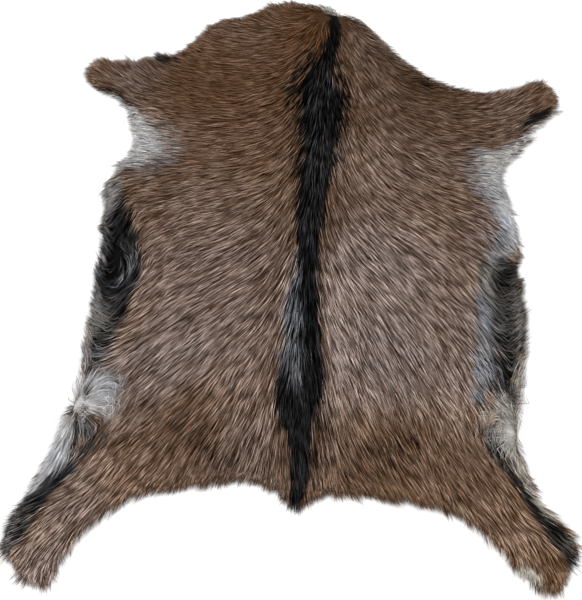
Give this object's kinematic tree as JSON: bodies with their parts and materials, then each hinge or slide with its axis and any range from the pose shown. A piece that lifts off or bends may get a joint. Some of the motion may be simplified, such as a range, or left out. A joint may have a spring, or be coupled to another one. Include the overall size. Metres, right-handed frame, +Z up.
{
  "type": "goatskin rug",
  "caption": "Tanned goatskin laid out flat with the hair up: broad neck, four leg ends, a dark stripe down the back and shaggy hair that reaches past the cut edge.",
  "frame": {"origin": "on the flat underside, under the middle of the back", "axes": "+Z up through the hair, +Y towards the neck, +X to the right as the skin is seen from above with the neck away from the viewer"},
  "size_m": [0.9335, 1.0814, 0.0225],
  "materials": {
    "coat": "long brown goat hair with paler tips, near-black along the back, belly and thigh lines",
    "flesh_side": "suede flesh side of the tanned skin, pale tan and matt"
  },
  "bodies": {
    "root": {"goatskin": "coat"}
  },
  "joints": []
}
